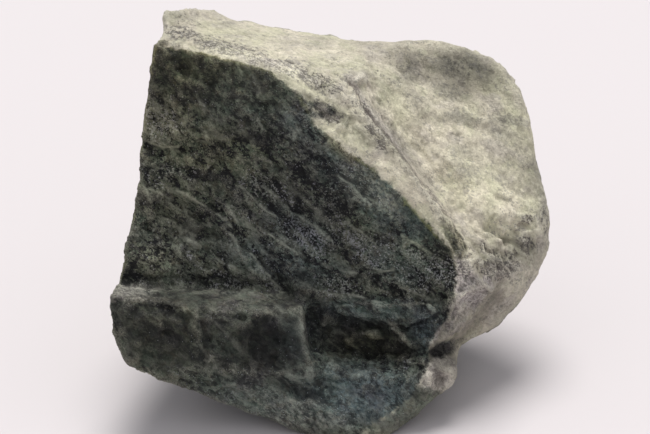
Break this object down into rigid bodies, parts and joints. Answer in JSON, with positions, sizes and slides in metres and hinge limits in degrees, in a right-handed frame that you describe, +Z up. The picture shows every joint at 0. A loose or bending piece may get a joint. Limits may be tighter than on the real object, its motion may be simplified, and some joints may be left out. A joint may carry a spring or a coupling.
{
  "type": "rough peridot",
  "caption": "Rough chunk of massive, fine-grained, grey-green olivine rock with broken faces, a sharp ridge, a ledge and a flat broken underside to rest on.",
  "frame": {"origin": "centre of the stone's bounding box on the plane it rests on", "axes": "+X along the broad steep front face to the right, +Y from the front face to the back, +Z up"},
  "size_m": [0.0516, 0.0388, 0.0422],
  "materials": {
    "rough_olivine_rock": "rough granular fracture, pale grey-green with near-black specks drawn out in streaks"
  },
  "bodies": {
    "root": {"stone": "rough_olivine_rock"}
  },
  "joints": []
}
